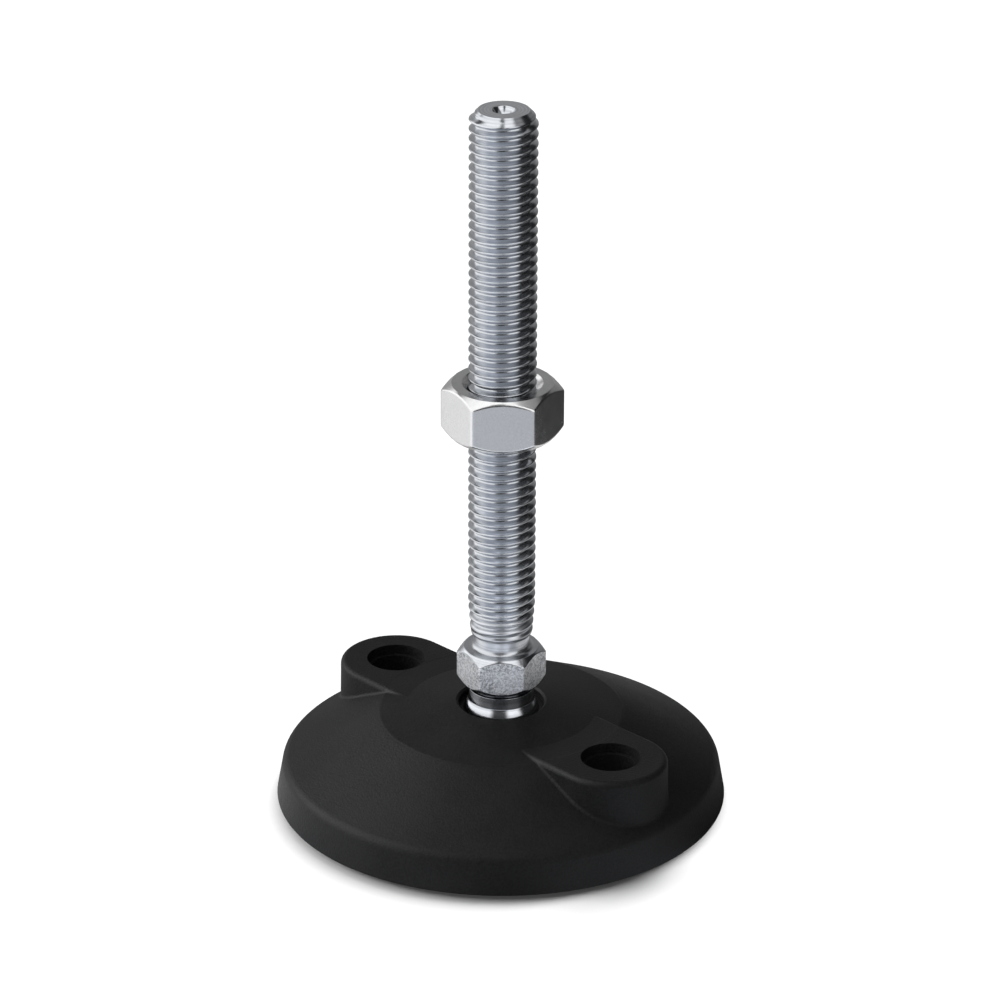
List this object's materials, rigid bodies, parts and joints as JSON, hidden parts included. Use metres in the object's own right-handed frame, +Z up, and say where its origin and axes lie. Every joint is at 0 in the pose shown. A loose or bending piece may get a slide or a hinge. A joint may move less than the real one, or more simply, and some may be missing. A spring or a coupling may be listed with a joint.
{
  "type": "levelling foot",
  "caption": "Levelling foot with a threaded steel stem on a ball joint, a lock nut, and a round moulded base with fixing lugs.",
  "frame": {"origin": "middle of the base's underside, on the floor", "axes": "+Z up along the stem, +X through one fixing lug; the two lugs lie on X"},
  "size_m": [0.08, 0.08, 0.1286],
  "materials": {
    "moulded_nylon": "matte black glass-filled nylon with a fine moulded grain",
    "zinc_plated_stem": "bright zinc-plated steel, turned, with a rolled thread",
    "zinc_plated_nut": "satin zinc-plated steel"
  },
  "bodies": {
    "base": {"base": "moulded_nylon"},
    "stem": {"stem": "zinc_plated_stem"},
    "nut": {"lock_nut": "zinc_plated_nut"}
  },
  "joints": [
    {"name": "stem_tilt", "type": "hinge", "parent": "base", "child": "stem", "pos_m": [0, 0, 0.0144], "axis": [1, 0, 0], "range_deg": [-15, 15]},
    {"name": "nut_travel", "type": "slide", "parent": "stem", "child": "nut", "axis": [0, 0, 1], "range_m": [-0.0315, 0.04725]}
  ]
}
